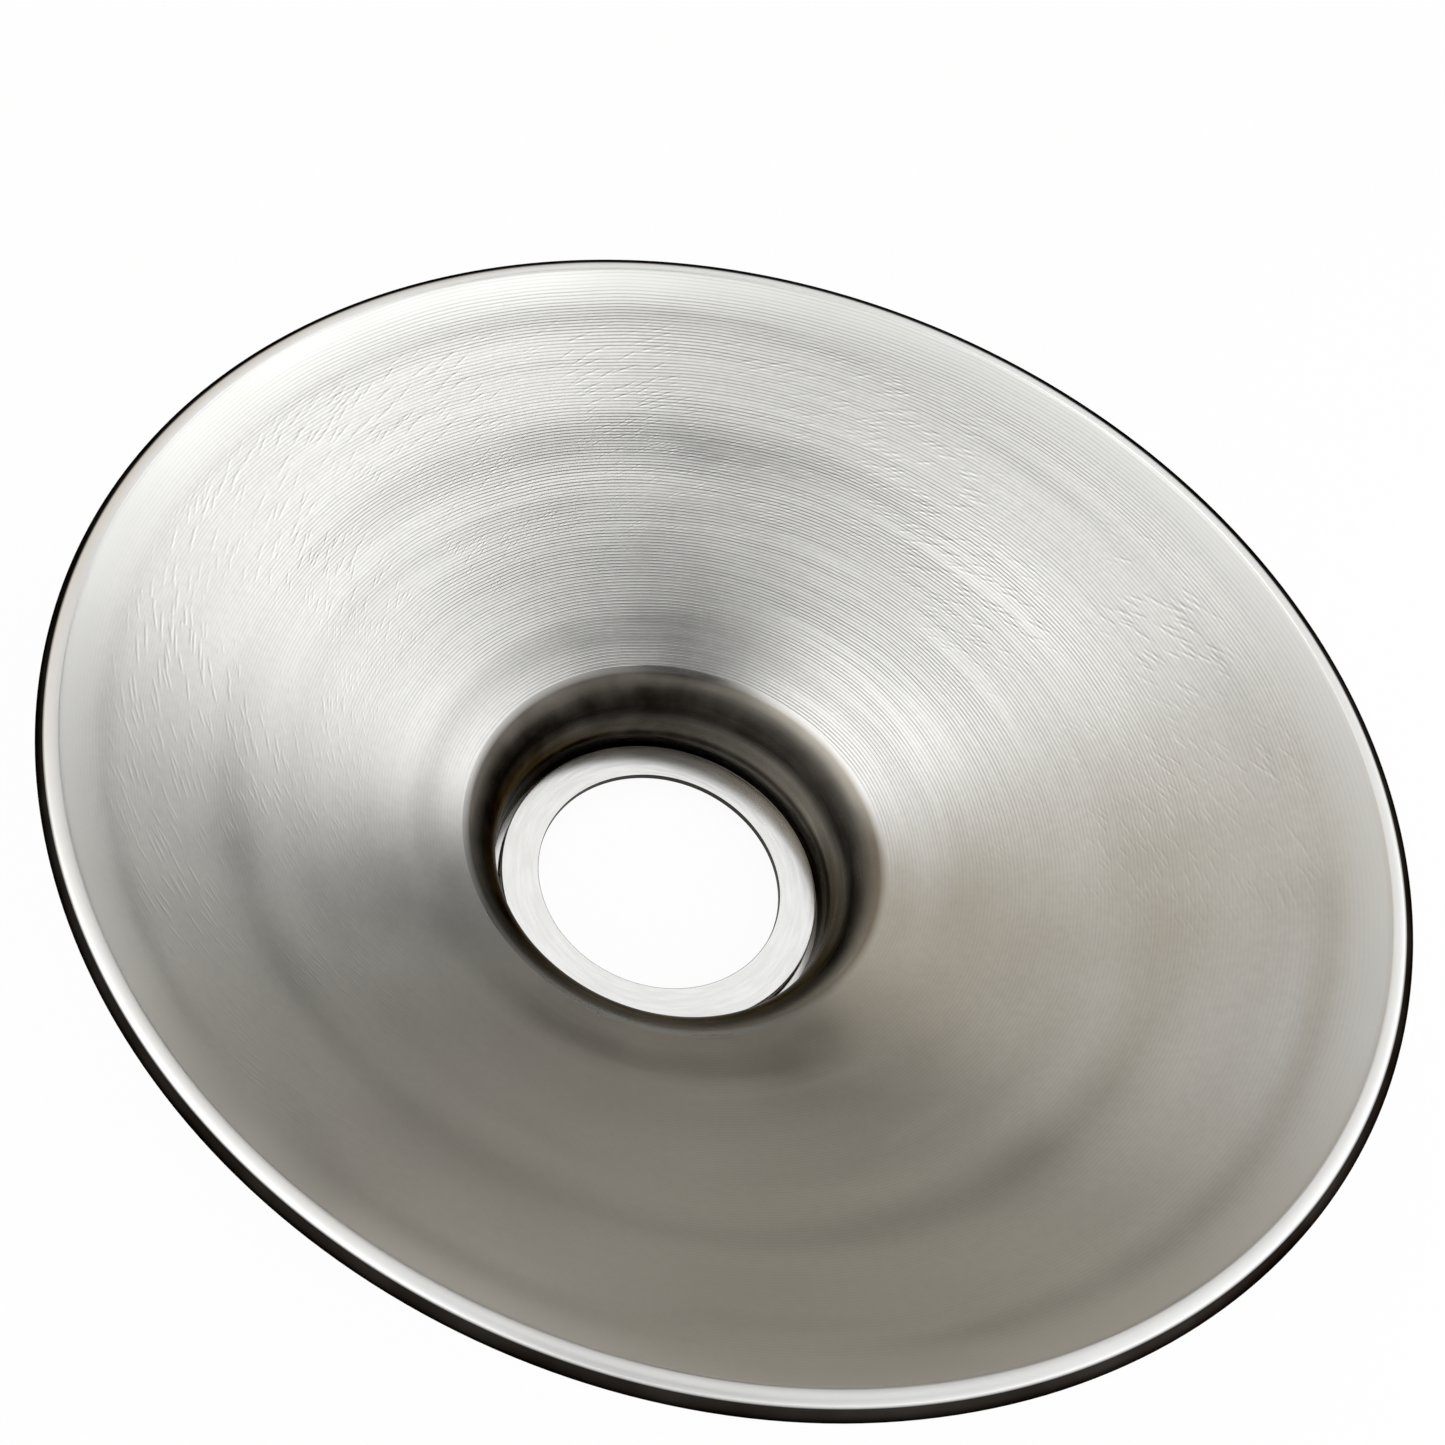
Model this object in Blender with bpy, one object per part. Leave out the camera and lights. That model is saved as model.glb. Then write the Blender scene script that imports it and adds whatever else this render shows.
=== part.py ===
"""Wide spun-steel canning funnel: a shallow bowl with a wired rim and a short neck, set in a grooved collar.

Metres, +Z up. The origin is the middle of the collar's foot, which is the face the funnel stands on.
"""

from math import acos, cos, pi, radians, sin, tan

import bmesh
import bpy

# Collar: a pressed ring with a round outlet, a groove for the neck and a tapered outer wall
OUTLET_DIAMETER = 0.0394
RING_WIDTH = 0.0060
GROOVE_GAP = 0.0011
GROOVE_DEPTH = 0.0030
COLLAR_SHEET = 0.0010
COLLAR_WALL_HEIGHT = 0.0052
RING_EDGE_ROUND = 0.0007

# Bowl: one spun sheet from the neck's lower edge to the curl round the rim wire
BOWL_SHEET = 0.0006
NECK_TAPER = radians(3)
NECK_WALL_HEIGHT = 0.0071
SHOULDER_RADIUS = 0.0094
SHOULDER_SLOPE = radians(21)
RIM_SLOPE = radians(47.7)
LIP_SLOPE = radians(42)
LIP_WIDTH = 0.0022

# Rim: the outside diameter over the curl, and the wire that the curl is closed on
RIM_DIAMETER = 0.180
WIRE_DIAMETER = 0.0012

# Clearance between pieces that seat on each other
FIT_GAP = 0.0003

# Facets: steps round the axis, and steps along each curve of an outline
ROUND_STEPS = 72
CURL_STEPS = 11
SHOULDER_STEPS = 6
BOWL_STEPS = 8
EDGE_STEPS = 3
WIRE_STEPS = 8
# Edges sharper than this are drawn as edges, and the rest as smooth sheet
EDGE_ANGLE = radians(35)

# Heights and radii that follow from the sizes above
OUTLET_RADIUS = OUTLET_DIAMETER / 2
RING_RADIUS = OUTLET_RADIUS + RING_WIDTH
GROOVE_FLOOR = COLLAR_SHEET
RING_TOP = GROOVE_FLOOR + GROOVE_DEPTH
NECK_EDGE_RADIUS = RING_RADIUS + GROOVE_GAP
NECK_EDGE_HEIGHT = GROOVE_FLOOR + FIT_GAP
CURL_RADIUS = WIRE_DIAMETER / 2 + FIT_GAP + BOWL_SHEET
CURL_CENTRE_RADIUS = RIM_DIAMETER / 2 - CURL_RADIUS
# The curl's raw edge stops one clearance short of the bowl's underside
CURL_SWEEP = 2 * pi - acos((CURL_RADIUS - BOWL_SHEET - FIT_GAP) / CURL_RADIUS)


def arc(centre, radius, start, end, steps):
    """Points (radius, height) on a circle, from the angle start to the angle end."""
    angles = [start + (end - start) * step / steps for step in range(steps + 1)]
    return [(centre[0] + radius * cos(a), centre[1] + radius * sin(a)) for a in angles]


def inner_face():
    """The bowl's inner face from the neck's lower edge to the curl's raw edge, as (radius, height, slope).

    The slope is the sheet's direction there, as an angle above the horizontal.
    """
    wall_slope = pi / 2 - NECK_TAPER
    points = [(NECK_EDGE_RADIUS, NECK_EDGE_HEIGHT, wall_slope)]

    # The shoulder bends from the neck's wall down to the bowl's slope
    wall_top = NECK_EDGE_RADIUS + NECK_WALL_HEIGHT * tan(NECK_TAPER)
    wall_end = NECK_EDGE_HEIGHT + NECK_WALL_HEIGHT
    for step in range(SHOULDER_STEPS + 1):
        slope = wall_slope + (SHOULDER_SLOPE - wall_slope) * step / SHOULDER_STEPS
        radius = wall_top + SHOULDER_RADIUS * (sin(wall_slope) - sin(slope))
        height = wall_end + SHOULDER_RADIUS * (cos(slope) - cos(wall_slope))
        points.append((radius, height, slope))

    # The bowl is one dished arc that ends where the lip starts
    bowl_start, bowl_base, _ = points[-1]
    lip_end = CURL_CENTRE_RADIUS - CURL_RADIUS * sin(LIP_SLOPE)
    lip_start = lip_end - LIP_WIDTH * cos(LIP_SLOPE)
    dish_radius = (lip_start - bowl_start) / (sin(RIM_SLOPE) - sin(SHOULDER_SLOPE))
    for step in range(1, BOWL_STEPS + 1):
        slope = SHOULDER_SLOPE + (RIM_SLOPE - SHOULDER_SLOPE) * step / BOWL_STEPS
        radius = bowl_start + dish_radius * (sin(slope) - sin(SHOULDER_SLOPE))
        height = bowl_base + dish_radius * (cos(SHOULDER_SLOPE) - cos(slope))
        points.append((radius, height, slope))
    crease_radius, crease_height, _ = points[-1]
    points[-1] = (crease_radius, crease_height, (RIM_SLOPE + LIP_SLOPE) / 2)

    # The lip runs straight into the curl, which turns outwards and down round the wire
    centre = (CURL_CENTRE_RADIUS, curl_centre_height(crease_height))
    first = pi / 2 + LIP_SLOPE
    for step, (radius, height) in enumerate(arc(centre, CURL_RADIUS, first, first - CURL_SWEEP, CURL_STEPS)):
        points.append((radius, height, LIP_SLOPE - CURL_SWEEP * step / CURL_STEPS))
    return points


def curl_centre_height(crease_height):
    """The height of the wire, from the height of the crease where the lip starts."""
    return crease_height + LIP_WIDTH * sin(LIP_SLOPE) - CURL_RADIUS * cos(LIP_SLOPE)


def wire_height():
    """The height of the wire's centre line, which is the middle of the curl."""
    curl_start = inner_face()[-1 - CURL_STEPS]
    return curl_start[1] - CURL_RADIUS * cos(LIP_SLOPE)


def bowl_outline():
    """The bowl's section: its inner face, and its outer face one sheet away."""
    inner = inner_face()
    outer = [(r + BOWL_SHEET * sin(slope), z - BOWL_SHEET * cos(slope)) for r, z, slope in inner]
    return [(r, z) for r, z, _ in inner] + outer[::-1]


def collar_outline():
    """The collar's section: ring, skirt, groove floor and outer wall, one sheet thick throughout."""
    skirt_radius = RING_RADIUS - COLLAR_SHEET
    wall_gap = (BOWL_SHEET + FIT_GAP) / cos(NECK_TAPER)
    wall_sheet = COLLAR_SHEET / cos(NECK_TAPER)

    def wall_face(height):
        """The outer wall's inner radius, which keeps one clearance to the tapered neck."""
        return NECK_EDGE_RADIUS + wall_gap + (height - NECK_EDGE_HEIGHT) * tan(NECK_TAPER)

    wall_top = GROOVE_FLOOR + COLLAR_WALL_HEIGHT
    edge_centre = (RING_RADIUS - RING_EDGE_ROUND, RING_TOP - RING_EDGE_ROUND)
    ring_edge = arc(edge_centre, RING_EDGE_ROUND, pi / 2, 0, EDGE_STEPS)
    return [
        (OUTLET_RADIUS, RING_TOP),
        *ring_edge,
        (RING_RADIUS, GROOVE_FLOOR),
        (wall_face(GROOVE_FLOOR), GROOVE_FLOOR),
        (wall_face(wall_top), wall_top),
        (wall_face(wall_top) + wall_sheet, wall_top),
        (wall_face(0) + wall_sheet, 0),
        (skirt_radius, 0),
        (skirt_radius, RING_TOP - COLLAR_SHEET),
        (OUTLET_RADIUS, RING_TOP - COLLAR_SHEET),
    ]


def wire_outline():
    """The wire's round section in the middle of the curl."""
    centre = (CURL_CENTRE_RADIUS, wire_height())
    return arc(centre, WIRE_DIAMETER / 2, 0, 2 * pi, WIRE_STEPS)[:-1]


def metal(name, colour, roughness):
    """A bare metal material."""
    material = bpy.data.materials.new(name)
    material.use_nodes = True
    shader = material.node_tree.nodes["Principled BSDF"]
    shader.inputs["Base Color"].default_value = (*colour, 1)
    shader.inputs["Metallic"].default_value = 1
    shader.inputs["Roughness"].default_value = roughness
    return material


def turned_piece(name, outline, material):
    """A solid of revolution about Z, spun from a closed section."""
    mesh = bpy.data.meshes.new(name)
    section = bmesh.new()
    corners = [section.verts.new((radius, 0, height)) for radius, height in outline]
    edges = [section.edges.new((a, b)) for a, b in zip(corners, corners[1:] + corners[:1])]
    bmesh.ops.spin(
        section,
        geom=corners + edges,
        cent=(0, 0, 0),
        axis=(0, 0, 1),
        angle=2 * pi,
        steps=ROUND_STEPS,
        use_merge=True,
    )
    bmesh.ops.recalc_face_normals(section, faces=section.faces)
    section.to_mesh(mesh)
    section.free()
    mesh.shade_smooth()
    mesh.set_sharp_from_angle(angle=EDGE_ANGLE)
    mesh.materials.append(material)
    piece = bpy.data.objects.new(name, mesh)
    bpy.context.scene.collection.objects.link(piece)
    return piece


def main():
    for old in list(bpy.data.objects):
        bpy.data.objects.remove(old)
    turned_piece("bowl", bowl_outline(), metal("satin_steel", (0.62, 0.61, 0.59), 0.38))
    turned_piece("rim_wire", wire_outline(), metal("drawn_wire", (0.42, 0.41, 0.40), 0.45))
    turned_piece("neck_collar", collar_outline(), metal("bright_steel", (0.78, 0.77, 0.75), 0.30))


main()
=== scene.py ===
"""Looks of the canning funnel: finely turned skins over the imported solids, their metals and a studio.

Metres, +Z up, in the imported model's own frame. Textures are in millimetres round the funnel's axis.
"""

from math import acos, atan2, cos, exp, pi, radians, sin, tan

import bpy
from mathutils import Euler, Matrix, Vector, noise


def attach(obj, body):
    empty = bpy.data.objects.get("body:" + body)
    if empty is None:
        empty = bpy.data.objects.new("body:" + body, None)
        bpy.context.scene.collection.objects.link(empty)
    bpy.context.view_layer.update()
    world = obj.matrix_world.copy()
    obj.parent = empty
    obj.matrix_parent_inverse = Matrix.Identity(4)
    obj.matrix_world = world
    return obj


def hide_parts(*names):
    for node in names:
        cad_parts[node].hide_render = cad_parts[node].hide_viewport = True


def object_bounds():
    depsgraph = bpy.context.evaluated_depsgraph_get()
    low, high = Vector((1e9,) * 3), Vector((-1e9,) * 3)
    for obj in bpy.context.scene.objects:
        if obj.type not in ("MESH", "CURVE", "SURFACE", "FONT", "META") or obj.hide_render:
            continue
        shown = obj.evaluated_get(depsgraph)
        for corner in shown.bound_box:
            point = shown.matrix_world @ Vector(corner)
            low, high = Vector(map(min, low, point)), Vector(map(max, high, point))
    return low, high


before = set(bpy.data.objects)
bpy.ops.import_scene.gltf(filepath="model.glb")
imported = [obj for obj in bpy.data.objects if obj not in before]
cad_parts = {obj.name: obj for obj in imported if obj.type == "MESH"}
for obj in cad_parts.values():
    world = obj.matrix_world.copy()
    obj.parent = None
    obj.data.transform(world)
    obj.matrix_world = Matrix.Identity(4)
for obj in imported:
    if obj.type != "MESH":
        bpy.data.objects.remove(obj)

CAD_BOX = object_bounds()
MILLIMETRES = 1000.0

# Sizes of the solids that the skins follow
SHEET = 0.0006
FIT_GAP = 0.0003
NECK_EDGE_RADIUS = 0.0268
NECK_EDGE_HEIGHT = 0.0013
NECK_TAPER = radians(3)
NECK_WALL_HEIGHT = 0.0071
SHOULDER_RADIUS = 0.0094
SHOULDER_SLOPE = radians(21)
RIM_SLOPE = radians(47.7)
RIM_RADIUS = CAD_BOX[1].x
RIM_HEIGHT = CAD_BOX[1].z
LIP_SLOPE = radians(42)
LIP_WIDTH = 0.0022
CURL_RADIUS = 0.0015
CURL_SWEEP = 2 * pi - acos((CURL_RADIUS - SHEET - FIT_GAP) / CURL_RADIUS)
OUTLET_RADIUS = 0.0197
RING_RADIUS = 0.0257
RING_TOP = 0.0040
COLLAR_SHEET = 0.0010
COLLAR_TOP = 0.0062

# Rounding of the collar's edges, and where the flat beside each begins, as a multiple of the rounding
EDGE_ROUND = 0.00025
RING_EDGE_ROUND = 0.0002
CUT_ROUND = 0.00008
FLAT_START = 1.6

# Brim: where the dish turns up into the lip, and the gently sloping land on the curl's inner side
BRIM_START = 0.0830
LAND_WIDTH = 0.0015
LAND_SLOPE = radians(23)

# Facets of the skins, and the sharpest bend that still shades as smooth sheet
ROUND_STEPS = 288
NECK_STEPS = 8
SHOULDER_STEPS = 24
DISH_STEPS = 120
LIP_STEPS = 10
LAND_STEPS = 8
CURL_STEPS = 40
EDGE_STEPS = 5
SMOOTH_ANGLE = radians(30)

# Ripples that the spinning leaves, as (radius, width, tilt of the sheet at their middle), and soft dents
RIPPLES = (
    (0.0390, 0.0035, radians(-2.4)),
    (0.0585, 0.0032, radians(-1.4)),
    (0.0670, 0.0050, radians(-3.1)),
    (0.0822, 0.0024, radians(-4.7)),
)
DENT_HEIGHT = 0.00010
DENT_LENGTH = 0.022
DENTS_ROUND = 2.2

# Zones of finish: each is a material slot of the bowl or of the collar
THROAT, DISH, RIM, OUTSIDE = 0, 1, 2, 3
RING, CUT_EDGE, WALL = 0, 1, 2

# The metals' lengths are in millimetres. A fade is (from low, from high), to 0 and 1 or to two levels given
# after them. Tones are colours. Where a finish has two, soft patches or fine lines run from the first to the
# second. Noise runs mostly between these levels.
NOISE_LOW, NOISE_HIGH = 0.3, 0.7

# Dish: satin steel with a fine grain, a painted highlight at the brim, and a painted warm reflection on one
# side
DISH_TONES = (0.575, 0.571, 0.551), (0.675, 0.670, 0.647)
DISH_PATCH = 17.0
DISH_ROUGHNESS = (
    (36, 0.29), (40, 0.305), (50, 0.36), (60, 0.40), (67, 0.35), (75, 0.42), (82, 0.42), (86, 0.49)
)
DISH_ROUGHNESS_SPREAD = 0.03
DISH_ANISOTROPY = 0.17
WAVE_PITCH = 2.2
WAVE_HEIGHT = 0.03
GRAINS_PER_MILLIMETRE = 0.9
GRAIN_TONE = (0.25, 0.245, 0.235)
GRAIN_SHARE = 0.10
BRIM_HIGHLIGHT_TONE = (0.71, 0.71, 0.69)
BRIM_HIGHLIGHT_FADE = (82.5, 86.2)
WARM_REFLECTION_TONE = (0.605, 0.55, 0.45)
WARM_REFLECTION_SIDE = radians(-88)
WARM_REFLECTION_FADE = (0.4, 1.0, 0.0, 0.55)
MARK_TONE = (0.10, 0.10, 0.10)

# Spin lines in the dish: their depth by radius, the side where they are deepest, their waver and sway. Their
# grooves are darkened in colour as painted shade
LINE_PITCH = 0.52
LINE_CREST = 0.95
LINE_HEIGHT = -0.022
LINE_PAINTED_SHADE = 0.85
LINE_DEPTHS = (
    (36, 0.75), (44, 0.85), (50, 1.0), (60, 0.85), (67, 1.0),
    (74, 0.6), (76, 0.55), (82, 0.8), (85, 0.4), (86, 0.2),
)
LINE_SIDE = radians(90)
LINE_SIDE_FADE = (0.0, 0.9, 0.12, 1.0)
LINE_WAVER_PITCH = 1.1
LINE_WAVER_FADE = (0.3, 0.6, 0.55, 1.0)
LINE_SWAY = 0.8
LINE_SWAY_LENGTH = 20.0

# Scuffs in the dish, as sets of (lean, length, width, share of cells with one), and their bright edges,
# which are painted highlights; each scuff is a real mark in the bump, darkened in colour as painted shade
SCUFF_SETS = (0.24, 13.0, 0.60, 0.75), (0.38, 9.0, 0.66, 0.55)
SCUFF_LEAN_RADIUS = 70.0
SCUFF_EDGE_FADE = (0.20, 0.06)
SCUFF_HEIGHT = -0.020
SCUFF_DARKNESS = 0.22
SCUFF_DEPTHS = ((42, 0.0), (60, 1.0), (80.5, 1.0), (83, 0.0))
SCUFF_SIDE = radians(115)
SCUFF_SIDE_FADE = (-0.7, -0.1)
SCUFF_PATCH = 20.0
SCUFF_PATCH_FADE = (0.38, 0.56)
GLINT_SHIFT = 0.26
GLINT_SHARE = 0.6
GLINT_TONE = (0.88, 0.88, 0.86)

# Specks, as (spacing, size, share of the cells that have one)
DISH_SPECKS = (9.0, 0.35, 0.12)
DISH_SPECK_DARKNESS = 0.5
RING_SPECKS = (6.0, 0.25, 0.25)
RING_SPECK_DARKNESS = 0.6
RING_SPECK_TONE = (0.10, 0.09, 0.08)

# Throat: painted shade, how light it is by height, the side where it is lightest as painted light, and the
# unshaded steel above it
THROAT_SHADE_TONES = (0.010, 0.008, 0.006), (0.34, 0.315, 0.27)
THROAT_SHADE_LEVELS = (
    (1.3, 0.04), (3.2, 0.15), (4.0, 0.75), (4.9, 0.85), (5.8, 0.12), (6.4, 0.08),
    (7.4, 0.42), (8.5, 0.36), (9.8, 0.40), (11.0, 0.22), (12.0, 0.18), (13.2, 0.09),
    (14.0, 0.14), (14.6, 0.22), (15.2, 0.42), (15.8, 0.70), (16.7, 1.0),
)
THROAT_LIGHT_SIDE = radians(-20)
THROAT_LIGHT_SIDE_FADE = (-0.4, 0.3, 0.28, 1.0)
THROAT_SHADE_PATCH = 6.0
THROAT_SHADE_PATCH_SPREAD = 0.04
UNSHADED_TONE = (0.58, 0.575, 0.555)
UNSHADED_FADE = (16.15, 16.65)
UNSHADED_SIDE_FADE = (0.28, 1.0, 0.55, 1.0)
THROAT_LINE_PITCH = 0.7
THROAT_LINE_HEIGHT = 0.012
THROAT_LINES_ROUND = 3.0
THROAT_ROUGHNESS = (0.24, 0.34)
THROAT_ANISOTROPY = 0.4
THROAT_EDGE_TINT = (0.4, 0.38, 0.35, 1.0)

# Rim: a painted highlight on the land, and a painted dark reflection on the curl's outside, which begins at
# a radius that sways round the rim; a dark edge tint dims the rim's grazing reflections as painted shade
RIM_HIGHLIGHT_TONES = (0.84, 0.84, 0.825), (0.92, 0.92, 0.905)
RIM_PATCH = 10.0
RIM_LINE_PITCH = 0.4
RIM_LINE_HEIGHT = 0.003
RIM_ROUGHNESS = (0.36, 0.44)
RIM_ANISOTROPY = 0.3
RIM_EDGE_TINT = (0.15, 0.14, 0.13, 1.0)
CURL_DARK_REFLECTION_TONES = (0.006, 0.005, 0.004), (0.018, 0.014, 0.011)
CURL_DARK_REFLECTION_RADIUS = 88.52
CURL_DARK_REFLECTION_SWAY = 0.41
CURL_DARK_REFLECTION_SIDE = radians(63)
CURL_DARK_REFLECTION_HEIGHT = 52.7
CURL_DARK_REFLECTION_EDGE = 0.15
CURL_DARK_REFLECTION_GAPS = (0.35, 0.65, 0.0, 0.012)
CURL_DARK_REFLECTION_LEAST_RADIUS = 87.4

# Collar's ring: pale, fine satin
RING_TONES = (0.84, 0.838, 0.825), (0.92, 0.918, 0.905)
RING_PATCH = 5.0
RING_GRAIN_PITCH = 0.6
RING_GRAIN_ROUND = 4.0
RING_GRAIN_TONE = (0.55, 0.54, 0.52)
RING_GRAIN_FADE = (0.35, 0.65, 0.0, 0.10)
RING_GRAIN_HEIGHT = 0.0015
RING_ROUGHNESS = (0.18, 0.24)

# Outside of the bowl and the collar: plain satin with turning lines
OUTER_TONES = (0.47, 0.468, 0.458), (0.56, 0.557, 0.545)
OUTER_PATCH = 20.0
OUTER_LINE_PITCH = 0.7
OUTER_LINE_TONE = (0.20, 0.20, 0.195)
OUTER_LINE_FADE = (0.45, 0.7, 0.0, 0.3)
OUTER_LINE_HEIGHT = 0.02
OUTER_ROUGHNESS = (0.28, 0.38)
OUTER_ANISOTROPY = 0.3

# The outlet's cut edge, and the rim wire
CUT_TONES = (0.020, 0.018, 0.016), (0.060, 0.055, 0.050)
CUT_TEARS_PER_RADIAN = 60.0
CUT_TEAR_HEIGHT = 0.02
CUT_ROUGHNESS = (0.45, 0.6)
WIRE_TONES = (0.34, 0.33, 0.32), (0.46, 0.45, 0.44)
WIRE_LINE_PITCH = 0.2
WIRE_LINE_HEIGHT = 0.01
WIRE_ROUGHNESS = (0.4, 0.5)

# Stage, in metres: the height that lamps and cards face, the floor, how bright the room is to rays that
# only carry light, and how much of the floor is seen as even white
MIDDLE_HEIGHT = 0.03
FLOOR_SIZE = 8.0
FLOOR_HEIGHT = -0.0002
FLOOR_TONE = (0.95, 0.95, 0.95, 1.0)
ROOM_LEVEL = 0.85
WHITE_SHARE = 0.94

# The photograph's view
CAMERA_PLACE = (-0.0293, -0.1241, 0.2014)
CAMERA_ANGLES = (34.51, -6.87, 9.87)
CAMERA_LENS = 36.05
CAMERA_SENSOR = 36.0
CAMERA_SHIFT = (0.156, 0.030)
CAMERA_NEAR = 0.01


# Shapes

def neck_and_shoulder():
    """Points (radius, height, slope) up the neck's wall and round the shoulder, on the inner face."""
    wall_slope = pi / 2 - NECK_TAPER
    points = []
    for step in range(NECK_STEPS):
        rise = NECK_WALL_HEIGHT * step / NECK_STEPS
        points.append((NECK_EDGE_RADIUS + rise * tan(NECK_TAPER), NECK_EDGE_HEIGHT + rise, wall_slope))
    wall_top = NECK_EDGE_RADIUS + NECK_WALL_HEIGHT * tan(NECK_TAPER)
    wall_end = NECK_EDGE_HEIGHT + NECK_WALL_HEIGHT
    for step in range(SHOULDER_STEPS + 1):
        slope = wall_slope + (SHOULDER_SLOPE - wall_slope) * step / SHOULDER_STEPS
        radius = wall_top + SHOULDER_RADIUS * (sin(wall_slope) - sin(slope))
        height = wall_end + SHOULDER_RADIUS * (cos(slope) - cos(wall_slope))
        points.append((radius, height, slope))
    return points


def dish_bend(start):
    """The radius of the dish's curve, which runs from the shoulder's last point to the solid's lip."""
    curl_centre = RIM_RADIUS - CURL_RADIUS
    crease = curl_centre - CURL_RADIUS * sin(LIP_SLOPE) - LIP_WIDTH * cos(LIP_SLOPE)
    return (crease - start[0]) / (sin(RIM_SLOPE) - sin(SHOULDER_SLOPE))


def dish(start):
    """Points of the dish from the shoulder's last point to the solid's lip."""
    dish_radius = dish_bend(start)
    points = []
    for step in range(1, DISH_STEPS + 1):
        slope = SHOULDER_SLOPE + (RIM_SLOPE - SHOULDER_SLOPE) * step / DISH_STEPS
        radius = start[0] + dish_radius * (sin(slope) - sin(SHOULDER_SLOPE))
        height = start[1] + dish_radius * (cos(SHOULDER_SLOPE) - cos(slope))
        points.append((radius, height, slope))
    return points


def brim(start, top):
    """The steep lip's points above the dish, and the land's from there to the curl's highest point."""
    bend = LAND_WIDTH / sin(LAND_SLOPE)
    slopes = [LAND_SLOPE * (1 - step / LAND_STEPS) for step in range(LAND_STEPS + 1)]
    land = [(top[0] - bend * sin(slope), top[1] - bend * (1 - cos(slope)), slope) for slope in slopes]

    # The lip's slope changes evenly, and its middle slope is that of the straight line to the land
    run = (land[0][0] - start[0]) / LIP_STEPS
    rise = atan2(land[0][1] - start[1], land[0][0] - start[0])
    lip = []
    before = start
    for step in range(1, LIP_STEPS):
        slope = start[2] + 2 * (rise - start[2]) * step / LIP_STEPS
        before = (before[0] + run, before[1] + run * tan((before[2] + slope) / 2), slope)
        lip.append(before)
    return lip, land


def curl(top):
    """Points from the top of the curl outwards, down and round to its raw edge."""
    centre = top[1] - CURL_RADIUS
    points = []
    for step in range(1, CURL_STEPS + 1):
        slope = (LIP_SLOPE - CURL_SWEEP) * step / CURL_STEPS
        points.append((top[0] - CURL_RADIUS * sin(slope), centre + CURL_RADIUS * cos(slope), slope))
    return points


def ripple(radius, slope):
    """How far the ripples lift the sheet off its true curve: not at all from the curl's top outwards."""
    if slope <= 0:
        return 0.0
    lift = 0.0
    for middle, width, tilt in RIPPLES:
        across = (radius - middle) / width
        lift += tan(tilt) * width * across * exp(-across ** 2)
    return lift / cos(slope)


def dent(radius, angle):
    """How far the soft dents lift the sheet off its true curve."""
    spot = Vector((DENTS_ROUND * cos(angle), DENTS_ROUND * sin(angle), radius / DENT_LENGTH))
    return DENT_HEIGHT * noise.noise(spot)


def bowl_skin():
    """The bowl as one sheet from the neck's edge to the curl, with a zone of finish for each stretch."""
    throat = neck_and_shoulder()
    middle = [point for point in dish(throat[-1]) if point[0] < BRIM_START]
    top = (RIM_RADIUS - CURL_RADIUS, RIM_HEIGHT)
    lip, land = brim(middle[-1], top)
    rim = land + curl(top)
    inner = throat + middle + lip + rim
    lifts = [ripple(radius, slope) for radius, _, slope in inner]

    # The dents are deepest in the middle of the dish, and die out at its ends
    shares = [0.0] * len(throat) + [sin(pi * step / len(middle)) for step in range(len(middle))]
    shares += [0.0] * (len(lip) + len(rim))
    inside = [(*point, lift, share) for point, lift, share in zip(inner, lifts, shares)]
    outside = [(r + SHEET * sin(s), z - SHEET * cos(s), s, lift, share) for r, z, s, lift, share in inside]

    def place(point, angle):
        radius, height, slope, lift, share = point
        if share:
            lift += dent(radius, angle) * share
        radius -= lift * sin(slope)
        height += lift * cos(slope)
        return (radius * cos(angle), radius * sin(angle), height)

    bend = len(rim) - 1
    inside_zones = [THROAT] * (len(throat) - 1) + [DISH] * (len(middle + lip) + 1) + [RIM] * bend
    outside_zones = [OUTSIDE] * len(throat + middle + lip) + [RIM] * bend
    zones = inside_zones + [RIM] + outside_zones[::-1] + [OUTSIDE]
    return turned("bowl_skin", inside + outside[::-1], place, zones)


def rounded_corner(before, corner, after, radius):
    """Points that round an outline's corner, with one on each flat beside it so that it shades as flat."""
    corner = Vector(corner)
    back = (Vector(before) - corner).normalized() * radius
    on = (Vector(after) - corner).normalized() * radius
    points = [corner + back * FLAT_START]
    for step in range(EDGE_STEPS + 1):
        t = step / EDGE_STEPS
        points.append(corner + back * (1 - t) ** 2 + on * t ** 2)
    points.append(corner + on * FLAT_START)
    return [tuple(point) for point in points]


def collar_wall_face(height):
    """The outer wall's inner radius, which keeps one clearance to the tapered neck."""
    wall_gap = (SHEET + FIT_GAP) / cos(NECK_TAPER)
    return NECK_EDGE_RADIUS + wall_gap + (height - NECK_EDGE_HEIGHT) * tan(NECK_TAPER)


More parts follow.
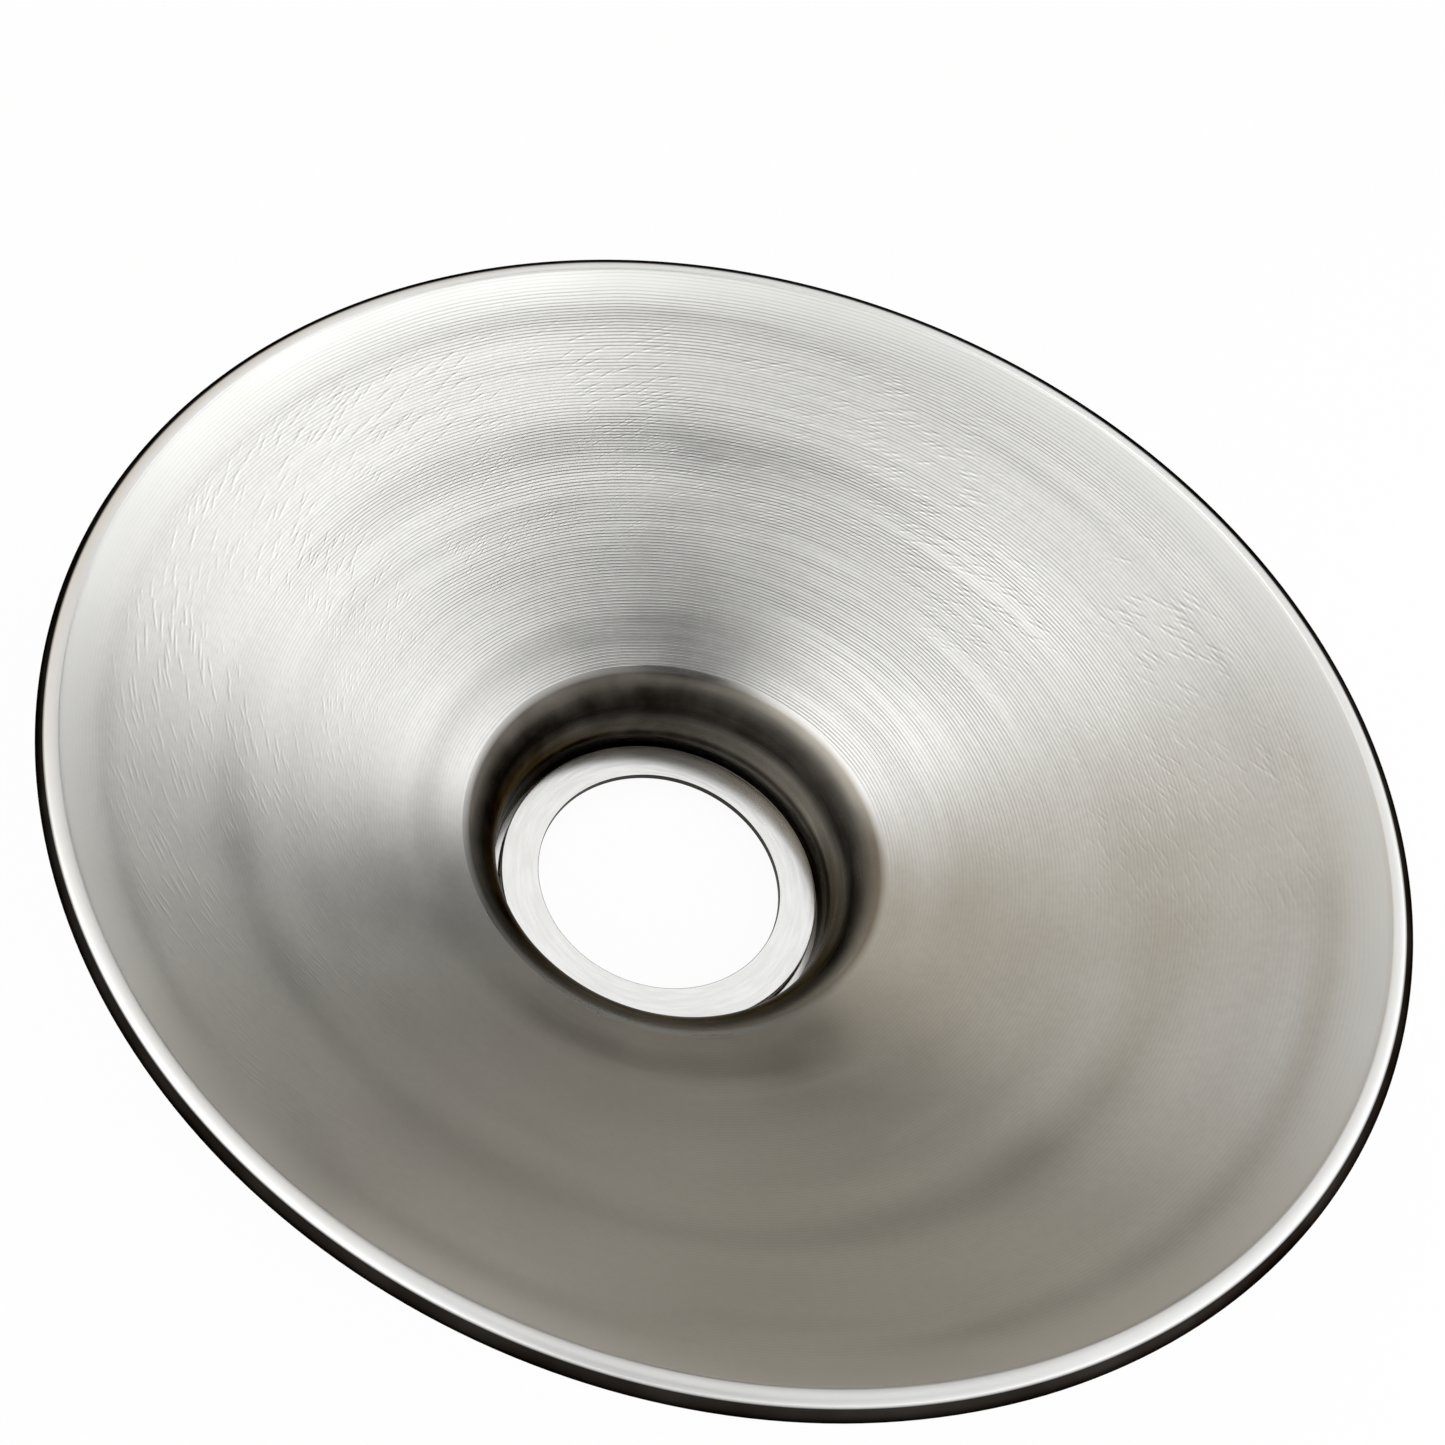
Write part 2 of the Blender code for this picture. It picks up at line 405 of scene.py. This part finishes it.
def collar_skin():
    """The collar's section with its edges broken, as a pressing has them."""
    wall_sheet = COLLAR_SHEET / cos(NECK_TAPER)
    wall_top = collar_wall_face(COLLAR_TOP)
    skirt = RING_RADIUS - COLLAR_SHEET
    under = RING_TOP - COLLAR_SHEET
    ring_corners = [
        ((OUTLET_RADIUS, RING_TOP), CUT_ROUND),
        ((RING_RADIUS, RING_TOP), RING_EDGE_ROUND),
        ((RING_RADIUS, COLLAR_SHEET), EDGE_ROUND),
        ((collar_wall_face(COLLAR_SHEET), COLLAR_SHEET), EDGE_ROUND),
    ]
    wall_corners = [
        ((wall_top, COLLAR_TOP), EDGE_ROUND),
        ((wall_top + wall_sheet, COLLAR_TOP), EDGE_ROUND),
        ((collar_wall_face(0) + wall_sheet, 0), RING_EDGE_ROUND),
        ((skirt, 0), RING_EDGE_ROUND),
        ((skirt, under), EDGE_ROUND),
        ((OUTLET_RADIUS, under), CUT_ROUND),
    ]
    corners = ring_corners + wall_corners
    section = []
    for index, (corner, rounding) in enumerate(corners):
        before = corners[index - 1][0]
        after = corners[(index + 1) % len(corners)][0]
        section += rounded_corner(before, corner, after, rounding)

    def place(point, angle):
        return (point[0] * cos(angle), point[0] * sin(angle), point[1])

    # Each corner has its arc's points and one on each flat, and the outlet's two corners are the cut edge
    corner_points = EDGE_STEPS + 3
    cut_above = EDGE_STEPS + 1
    cut_below = EDGE_STEPS + 2
    ring = len(ring_corners) * corner_points - cut_above
    wall = len(wall_corners) * corner_points - cut_below
    zones = [CUT_EDGE] * cut_above + [RING] * ring + [WALL] * wall + [CUT_EDGE] * cut_below
    return turned("collar_skin", section, place, zones)


def turned(name, section, place, zones):
    """A closed section carried round the axis, one ring of faces for each of its stretches."""
    count = len(section)
    corners = []
    for turn in range(ROUND_STEPS):
        angle = 2 * pi * turn / ROUND_STEPS
        corners += [place(point, angle) for point in section]
    faces = []
    for turn in range(ROUND_STEPS):
        here = turn * count
        there = (turn + 1) % ROUND_STEPS * count
        for index in range(count):
            after = (index + 1) % count
            faces.append((here + index, here + after, there + after, there + index))
    mesh = bpy.data.meshes.new(name)
    mesh.from_pydata(corners, [], faces)
    mesh.polygons.foreach_set("material_index", zones * ROUND_STEPS)
    mesh.shade_smooth()
    mesh.set_sharp_from_angle(angle=SMOOTH_ANGLE)
    piece = bpy.data.objects.new(name, mesh)
    bpy.context.scene.collection.objects.link(piece)
    return piece


# Materials

class Metal:
    """A metal's node tree, with its place in millimetres: radius, height and turn about the axis."""

    def __init__(self, name):
        self.material = bpy.data.materials.new(name)
        self.material.use_nodes = True
        self.tree = self.material.node_tree
        self.shader = self.tree.nodes["Principled BSDF"]
        place = self.add("ShaderNodeTexCoord").outputs["Object"]
        self.place = self.scaled(place, MILLIMETRES)
        parts = self.add("ShaderNodeSeparateXYZ", {0: self.place}).outputs
        level = self.joined(parts["X"], parts["Y"], 0.0)
        self.way_out = self.vector("NORMALIZE", level)
        self.radius = self.add("ShaderNodeVectorMath", {0: level}, operation="LENGTH").outputs["Value"]
        self.height = parts["Z"]
        self.turn = self.math("ARCTAN2", parts["Y"], parts["X"])

    def add(self, kind, inputs=None, **settings):
        node = self.tree.nodes.new(kind)
        for key, value in settings.items():
            setattr(node, key, value)
        for key, value in (inputs or {}).items():
            self.feed(node.inputs[key], value)
        return node

    def feed(self, socket, value):
        if isinstance(value, bpy.types.NodeSocket):
            self.tree.links.new(value, socket)
        else:
            socket.default_value = value

    def math(self, operation, *values):
        node = self.add("ShaderNodeMath", operation=operation)
        for socket, value in zip(node.inputs, values):
            self.feed(socket, value)
        return node.outputs[0]

    def plus(self, first, second):
        return self.math("ADD", first, second)

    def times(self, first, second):
        return self.math("MULTIPLY", first, second)

    def vector(self, operation, *values):
        node = self.add("ShaderNodeVectorMath", dict(enumerate(values)), operation=operation)
        return node.outputs["Vector"]

    def scaled(self, value, scale):
        node = self.add("ShaderNodeVectorMath", {0: value, "Scale": scale}, operation="SCALE")
        return node.outputs["Vector"]

    def joined(self, x, y, z):
        return self.add("ShaderNodeCombineXYZ", {"X": x, "Y": y, "Z": z}).outputs[0]

    def noise(self, vector, detail):
        inputs = {"Vector": vector, "Scale": 1.0, "Detail": detail}
        return self.add("ShaderNodeTexNoise", inputs).outputs["Fac"]

    def ranged(self, value, low, high, to_low=0.0, to_high=1.0):
        inputs = {"Value": value, "From Min": low, "From Max": high, "To Min": to_low, "To Max": to_high}
        return self.add("ShaderNodeMapRange", inputs).outputs["Result"]

    def spread(self, value, low, high):
        """A noise's usual range, stretched between two levels."""
        return self.ranged(value, NOISE_LOW, NOISE_HIGH, low, high)

    def ramp(self, value, stops):
        """A level that runs in straight lines through (value, level) stops."""
        first, last = stops[0], stops[-1]
        node = self.add("ShaderNodeValToRGB", {"Fac": self.ranged(value, first[0], last[0])})
        elements = node.color_ramp.elements
        elements[0].color = (first[1],) * 3 + (1.0,)
        elements[1].color = (last[1],) * 3 + (1.0,)
        for place, level in stops[1:-1]:
            element = elements.new((place - first[0]) / (last[0] - first[0]))
            element.color = (level,) * 3 + (1.0,)
        return node.outputs["Color"]

    def blend(self, factor, first, second):
        """A colour between two, which are colours or sockets."""
        node = self.add("ShaderNodeMix", data_type="RGBA", clamp_factor=True)
        self.feed(node.inputs[0], factor)
        for socket, colour in ((node.inputs[6], first), (node.inputs[7], second)):
            self.feed(socket, (*colour, 1.0) if isinstance(colour, tuple) else colour)
        return node.outputs[2]

    def towards(self, side):
        """1 on this side of the axis, 0 a quarter turn away, and -1 opposite."""
        return self.math("COSINE", self.math("SUBTRACT", self.turn, side))

    def clouds(self, size, detail=3.0):
        """Soft patches of about this size."""
        return self.noise(self.scaled(self.place, 1.0 / size), detail)

    def lines(self, across, pitch, rounds=2.0, detail=1.5):
        """Lines round the axis with this pitch, which swell and fade along their length."""
        along = self.scaled(self.way_out, rounds)
        step = self.joined(0.0, 0.0, self.math("DIVIDE", across, pitch))
        return self.noise(self.vector("ADD", along, step), detail)

    def scuffs(self, lean, length, width, share, shift):
        """Short scratches that lean from the lines round the axis, in a share of cells, from 0 to 1."""
        out = self.plus(self.radius, shift)
        flat = self.joined(self.times(self.turn, SCUFF_LEAN_RADIUS), out, 0.0)
        inputs = {"Vector": flat, "Angle": lean}
        leaning = self.add("ShaderNodeVectorRotate", inputs, rotation_type="Z_AXIS").outputs[0]
        cells = self.vector("DIVIDE", leaning, (length, width, 1.0))
        inputs = {"Vector": cells, "Scale": 1.0}
        marks = self.add("ShaderNodeTexVoronoi", inputs, voronoi_dimensions="2D").outputs
        near = self.ranged(marks["Distance"], *SCUFF_EDGE_FADE)
        return self.times(near, self.math("LESS_THAN", marks["Color"], share))

    def grooves(self, pitch):
        """Even grooves round the axis, with this pitch along the dish's curve, from 0 to 1."""
        start = neck_and_shoulder()[-1]
        bend = dish_bend(start)
        offset = sin(SHOULDER_SLOPE) - start[0] / bend
        sine = self.math("MULTIPLY_ADD", self.radius, 1 / (MILLIMETRES * bend), offset)
        along = self.times(self.math("ARCSINE", sine), MILLIMETRES * bend)
        sway = self.times(self.clouds(LINE_SWAY_LENGTH, 1.0), LINE_SWAY)
        turns = self.times(self.plus(along, sway), 2 * pi / pitch)
        return self.ranged(self.math("SINE", turns), 0.0, LINE_CREST)

    def specks(self, spacing, size, share):
        """Small round marks, on a share of the cells of a loose grid."""
        inputs = {"Vector": self.place, "Scale": 1.0 / spacing}
        cells = self.add("ShaderNodeTexVoronoi", inputs).outputs
        near = self.ranged(cells["Distance"], size / spacing, size / spacing / 2)
        return self.times(near, self.math("LESS_THAN", cells["Color"], share))

    def bump(self, height):
        """The surface's normal over a height in millimetres."""
        inputs = {"Height": height, "Distance": 1 / MILLIMETRES, "Strength": 1.0}
        return self.add("ShaderNodeBump", inputs).outputs["Normal"]

    def finish(self, colour, roughness, normal, anisotropy=0.0):
        """The finished material, whose anisotropy draws highlights out across the lines round the axis."""
        self.feed(self.shader.inputs["Base Color"], colour)
        self.feed(self.shader.inputs["Roughness"], roughness)
        self.feed(self.shader.inputs["Normal"], normal)
        self.shader.inputs["Metallic"].default_value = 1.0
        if anisotropy:
            tangent = self.add("ShaderNodeTangent", direction_type="RADIAL", axis="Z")
            self.feed(self.shader.inputs["Tangent"], tangent.outputs[0])
            self.shader.inputs["Anisotropic"].default_value = anisotropy
            self.shader.inputs["Anisotropic Rotation"].default_value = 0.25
        return self.material


def spin_lines(metal):
    """The dish's spin lines, by radius and by side, from 0 to 1."""
    side = metal.ranged(metal.towards(LINE_SIDE), *LINE_SIDE_FADE)
    waver = metal.ranged(metal.lines(metal.radius, LINE_WAVER_PITCH), *LINE_WAVER_FADE)
    depth = metal.times(metal.times(metal.ramp(metal.radius, LINE_DEPTHS), side), waver)
    return metal.times(metal.grooves(LINE_PITCH), depth)


def scuff_patches(metal):
    """Where the dish is scuffed, from 0 to 1."""
    side = metal.ranged(metal.towards(SCUFF_SIDE), *SCUFF_SIDE_FADE)
    patches = metal.times(metal.ranged(metal.clouds(SCUFF_PATCH, 2.0), *SCUFF_PATCH_FADE), side)
    return metal.times(patches, metal.ramp(metal.radius, SCUFF_DEPTHS))


def scuff_marks(metal, patches, shift):
    """Both sets of scuffs in the dish's patches, moved inwards by a shift."""
    first, second = [metal.scuffs(*marks, shift) for marks in SCUFF_SETS]
    return metal.times(metal.math("MAXIMUM", first, second), patches)


def dish_satin(metal, clouds, glints):
    """The dish's colour between its lines and marks, with painted highlights beside the scuffs and at the
    brim, and a painted warm reflection on one side.
    """
    grain = metal.noise(metal.scaled(metal.place, GRAINS_PER_MILLIMETRE), 2.0)
    satin = metal.blend(clouds, *DISH_TONES)
    satin = metal.blend(metal.spread(grain, 0.0, GRAIN_SHARE), satin, GRAIN_TONE)
    # Painted highlight: a bright copy of each scuff, shifted to lie beside it.
    satin = metal.blend(metal.times(glints, GLINT_SHARE), satin, GLINT_TONE)
    # Painted highlight: the brim's colour lightens towards its edge.
    satin = metal.blend(metal.ranged(metal.radius, *BRIM_HIGHLIGHT_FADE), satin, BRIM_HIGHLIGHT_TONE)
    # Painted warm reflection: one side of the dish is tinted warm.
    return metal.blend(metal.ranged(metal.towards(WARM_REFLECTION_SIDE), *WARM_REFLECTION_FADE), satin, WARM_REFLECTION_TONE)


def spun_steel():
    """The dish: satin steel with even lines round the axis, leaning scuffs, specks and a painted highlight
    at the brim.
    """
    metal = Metal("spun_steel")
    clouds = metal.clouds(DISH_PATCH)
    grooves = spin_lines(metal)
    patches = scuff_patches(metal)
    scuffs = scuff_marks(metal, patches, 0.0)
    glints = scuff_marks(metal, patches, GLINT_SHIFT)
    height = metal.plus(metal.times(grooves, LINE_HEIGHT), metal.times(scuffs, SCUFF_HEIGHT))
    height = metal.plus(height, metal.times(metal.lines(metal.radius, WAVE_PITCH), WAVE_HEIGHT))
    # Painted shade: the grooves of the spin lines and the scuffs are darkened; the specks are dark marks of
    # the steel's own.
    dark = metal.plus(metal.times(grooves, LINE_PAINTED_SHADE), metal.times(scuffs, SCUFF_DARKNESS))
    dark = metal.plus(dark, metal.times(metal.specks(*DISH_SPECKS), DISH_SPECK_DARKNESS))
    colour = metal.blend(dark, dish_satin(metal, clouds, glints), MARK_TONE)
    uneven = metal.spread(clouds, -DISH_ROUGHNESS_SPREAD, DISH_ROUGHNESS_SPREAD)
    roughness = metal.plus(metal.ramp(metal.radius, DISH_ROUGHNESS), uneven)
    return metal.finish(colour, roughness, metal.bump(height), DISH_ANISOTROPY)


def throat_steel():
    """The neck and shoulder inside: smoother than the dish, with painted shade in bands, lightest on one
    side.
    """
    metal = Metal("throat_steel")
    lines = metal.lines(metal.height, THROAT_LINE_PITCH, THROAT_LINES_ROUND)
    # Painted shade: the throat is darkened in bands by height, less on the side where light falls, and not
    # at the shoulder's top.
    shade = metal.ranged(metal.towards(THROAT_LIGHT_SIDE), *THROAT_LIGHT_SIDE_FADE)
    tone = metal.times(metal.ramp(metal.height, THROAT_SHADE_LEVELS), shade)
    uneven = metal.spread(metal.clouds(THROAT_SHADE_PATCH), -THROAT_SHADE_PATCH_SPREAD, THROAT_SHADE_PATCH_SPREAD)
    shaded = metal.blend(metal.plus(tone, uneven), *THROAT_SHADE_TONES)
    unshaded = metal.times(metal.ranged(metal.height, *UNSHADED_FADE), metal.ranged(shade, *UNSHADED_SIDE_FADE))
    colour = metal.blend(unshaded, shaded, UNSHADED_TONE)
    normal = metal.bump(metal.times(lines, THROAT_LINE_HEIGHT))
    metal.shader.inputs["Specular Tint"].default_value = THROAT_EDGE_TINT
    return metal.finish(colour, metal.spread(lines, *THROAT_ROUGHNESS), normal, THROAT_ANISOTROPY)


def curl_dark_reflection(metal, clouds):
    """Where the curl carries a painted dark reflection, from 0 to 1: from a swaying radius outwards, and
    below its middle.
    """
    swayed = metal.plus(metal.radius, metal.times(metal.towards(CURL_DARK_REFLECTION_SIDE), CURL_DARK_REFLECTION_SWAY))
    outwards = metal.ranged(swayed, CURL_DARK_REFLECTION_RADIUS - CURL_DARK_REFLECTION_EDGE, CURL_DARK_REFLECTION_RADIUS + CURL_DARK_REFLECTION_EDGE)
    below = metal.ranged(metal.height, CURL_DARK_REFLECTION_HEIGHT + CURL_DARK_REFLECTION_EDGE, CURL_DARK_REFLECTION_HEIGHT - CURL_DARK_REFLECTION_EDGE)
    below = metal.times(below, metal.math("GREATER_THAN", metal.radius, CURL_DARK_REFLECTION_LEAST_RADIUS))
    gaps = metal.ranged(clouds, *CURL_DARK_REFLECTION_GAPS)
    return metal.math("SUBTRACT", metal.math("MAXIMUM", outwards, below), gaps)


def rim_steel():
    """The land and the curl: a painted highlight on the inside, and a painted dark reflection where the curl
    turns outwards.
    """
    metal = Metal("rim_steel")
    clouds = metal.clouds(RIM_PATCH)
    lines = metal.lines(metal.radius, RIM_LINE_PITCH)
    bright = metal.blend(clouds, *RIM_HIGHLIGHT_TONES)
    # Painted dark reflection on the curl's outside, over the land's painted highlight.
    colour = metal.blend(curl_dark_reflection(metal, clouds), bright, metal.blend(lines, *CURL_DARK_REFLECTION_TONES))
    normal = metal.bump(metal.times(lines, RIM_LINE_HEIGHT))
    # Painted shade: a dark edge tint dims the rim's grazing reflections.
    metal.shader.inputs["Specular Tint"].default_value = RIM_EDGE_TINT
    return metal.finish(colour, metal.spread(lines, *RIM_ROUGHNESS), normal, RIM_ANISOTROPY)


def ring_steel():
    """The collar's ring: pale, fine satin with a few specks."""
    metal = Metal("ring_steel")
    grain = metal.lines(metal.radius, RING_GRAIN_PITCH, RING_GRAIN_ROUND)
    pale = metal.blend(metal.clouds(RING_PATCH), *RING_TONES)
    pale = metal.blend(metal.ranged(grain, *RING_GRAIN_FADE), pale, RING_GRAIN_TONE)
    specks = metal.times(metal.specks(*RING_SPECKS), RING_SPECK_DARKNESS)
    colour = metal.blend(specks, pale, RING_SPECK_TONE)
    normal = metal.bump(metal.times(grain, RING_GRAIN_HEIGHT))
    return metal.finish(colour, metal.spread(grain, *RING_ROUGHNESS), normal)


def outer_steel():
    """The bowl's outside and the collar's wall: plain satin steel with turning lines."""
    metal = Metal("outer_steel")
    lines = metal.lines(metal.plus(metal.radius, metal.height), OUTER_LINE_PITCH)
    satin = metal.blend(metal.clouds(OUTER_PATCH), *OUTER_TONES)
    colour = metal.blend(metal.ranged(lines, *OUTER_LINE_FADE), satin, OUTER_LINE_TONE)
    normal = metal.bump(metal.times(lines, OUTER_LINE_HEIGHT))
    return metal.finish(colour, metal.spread(lines, *OUTER_ROUGHNESS), normal, OUTER_ANISOTROPY)


def cut_steel():
    """The outlet's cut edge: sheared, dull and dark."""
    metal = Metal("cut_steel")
    tears = metal.noise(metal.joined(metal.times(metal.turn, CUT_TEARS_PER_RADIAN), metal.height, 0.0), 3.0)
    normal = metal.bump(metal.times(tears, CUT_TEAR_HEIGHT))
    return metal.finish(metal.blend(tears, *CUT_TONES), metal.spread(tears, *CUT_ROUGHNESS), normal)


def wire_steel():
    """The rim wire: dull drawn steel."""
    metal = Metal("wire_steel")
    lines = metal.lines(metal.height, WIRE_LINE_PITCH)
    normal = metal.bump(metal.times(lines, WIRE_LINE_HEIGHT))
    return metal.finish(metal.blend(lines, *WIRE_TONES), metal.spread(lines, *WIRE_ROUGHNESS), normal)


# Stage

def turn_to_funnel(panel, azimuth, elevation, distance):
    """Puts a lamp or a card round the funnel's middle, facing it and out of the camera's sight."""
    a, e = radians(azimuth), radians(elevation)
    way = Vector((cos(a) * cos(e), sin(a) * cos(e), sin(e)))
    panel.location = Vector((0, 0, MIDDLE_HEIGHT)) + distance * way
    panel.rotation_mode = "QUATERNION"
    panel.rotation_quaternion = (-way).to_track_quat("-Z", "Y")
    panel.visible_camera = False


def softbox(name, azimuth, elevation, distance, width, height, level):
    """A soft lamp whose face is as bright as level, where 1 is white."""
    lamp = bpy.data.lights.new(name, "AREA")
    lamp.shape = "RECTANGLE"
    lamp.size = width
    lamp.size_y = height
    lamp.energy = level * pi * width * height
    box = bpy.data.objects.new(name, lamp)
    turn_to_funnel(box, azimuth, elevation, distance)
    bpy.context.scene.collection.objects.link(box)


def panel(name, width, height, material):
    """A flat stage piece."""
    w, h = width / 2, height / 2
    mesh = bpy.data.meshes.new(name)
    mesh.from_pydata([(-w, -h, 0), (w, -h, 0), (w, h, 0), (-w, h, 0)], [], [(0, 1, 2, 3)])
    mesh.materials.append(material)
    sheet = bpy.data.objects.new(name, mesh)
    bpy.context.scene.collection.objects.link(sheet)
    return sheet


def card(name, azimuth, elevation, distance, width, height, colour):
    """An even card that the metal mirrors."""
    material = bpy.data.materials.new(name)
    material.use_nodes = True
    tree = material.node_tree
    face = tree.nodes.new("ShaderNodeEmission")
    face.inputs["Color"].default_value = (*colour, 1.0)
    tree.links.new(face.outputs[0], tree.nodes["Material Output"].inputs["Surface"])
    turn_to_funnel(panel(name, width, height, material), azimuth, elevation, distance)


def seen_directly(tree):
    """A socket that is 1 for camera, glossy and transmission rays, and 0 for rays that only carry light."""
    path = tree.nodes.new("ShaderNodeLightPath")
    seen = path.outputs["Is Camera Ray"]
    for ray in ("Is Glossy Ray", "Is Transmission Ray"):
        either = tree.nodes.new("ShaderNodeMath")
        either.operation = "MAXIMUM"
        tree.links.new(seen, either.inputs[0])
        tree.links.new(path.outputs[ray], either.inputs[1])
        seen = either.outputs[0]
    return seen


def floor_paint():
    """White paint that is seen mostly as even white, with a faint shadow."""
    material = bpy.data.materials.new("floor_paint")
    material.use_nodes = True
    tree = material.node_tree
    share = tree.nodes.new("ShaderNodeMath")
    share.operation = "MULTIPLY"
    share.inputs[1].default_value = WHITE_SHARE
    tree.links.new(seen_directly(tree), share.inputs[0])
    paint = tree.nodes.new("ShaderNodeBsdfDiffuse")
    paint.inputs["Color"].default_value = FLOOR_TONE
    white = tree.nodes.new("ShaderNodeEmission")
    mixed = tree.nodes.new("ShaderNodeMixShader")
    tree.links.new(share.outputs[0], mixed.inputs[0])
    tree.links.new(paint.outputs[0], mixed.inputs[1])
    tree.links.new(white.outputs[0], mixed.inputs[2])
    tree.links.new(mixed.outputs[0], tree.nodes["Material Output"].inputs["Surface"])
    return material


def white_room():
    """A world that is seen as white, and that lights the funnel as far as the lamps leave room for."""
    world = bpy.data.worlds.new("white_room")
    world.use_nodes = True
    tree = world.node_tree
    background = tree.nodes["Background"]
    background.inputs["Color"].default_value = (1, 1, 1, 1)
    level = tree.nodes.new("ShaderNodeMapRange")
    level.inputs["To Min"].default_value = ROOM_LEVEL
    level.inputs["To Max"].default_value = 1.0
    tree.links.new(seen_directly(tree), level.inputs["Value"])
    tree.links.new(level.outputs["Result"], background.inputs["Strength"])
    bpy.context.scene.world = world


def studio():
    """An even white room with a window side and a lamp overhead, and cards that the sheet mirrors."""
    white_room()
    panel("floor", FLOOR_SIZE, FLOOR_SIZE, floor_paint()).location.z = FLOOR_HEIGHT
    softbox("window_light", azimuth=2.5, elevation=20, distance=0.85, width=1.80, height=1.10, level=0.89)
    softbox("top_light", azimuth=238, elevation=78.3, distance=0.90, width=1.79, height=0.64, level=1.0)
    black = (0.005, 0.005, 0.005)
    dark_brown = (0.020, 0.015, 0.008)
    tan_grey = (0.56, 0.50, 0.41)
    card("overhead_card", azimuth=-10, elevation=79.6, distance=0.60, width=0.44, height=0.28, colour=black)
    card("back_card", azimuth=78, elevation=21.5, distance=0.80, width=0.73, height=0.62, colour=dark_brown)
    card("side_card", azimuth=128, elevation=39.5, distance=0.80, width=0.74, height=0.48, colour=tan_grey)


def camera():
    """The photograph's camera."""
    lens = bpy.data.cameras.new("photo_camera")
    lens.sensor_width = CAMERA_SENSOR
    lens.lens = CAMERA_LENS
    lens.shift_x, lens.shift_y = CAMERA_SHIFT
    lens.clip_start = CAMERA_NEAR
    view = bpy.data.objects.new("photo_camera", lens)
    view.location = CAMERA_PLACE
    view.rotation_euler = Euler([radians(angle) for angle in CAMERA_ANGLES])
    bpy.context.scene.collection.objects.link(view)
    bpy.context.scene.camera = view


def dress(piece, node, materials):
    """Puts a skin in the place of a solid."""
    for material in materials:
        piece.data.materials.append(material)
    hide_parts(node)
    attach(piece, "root")


outer = outer_steel()
dress(bowl_skin(), "bowl", [throat_steel(), spun_steel(), rim_steel(), outer])
dress(collar_skin(), "neck_collar", [ring_steel(), cut_steel(), outer])
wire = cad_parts["rim_wire"]
wire.data.materials.clear()
wire.data.materials.append(wire_steel())
studio()
camera()
bpy.context.scene.view_settings.view_transform = "Standard"
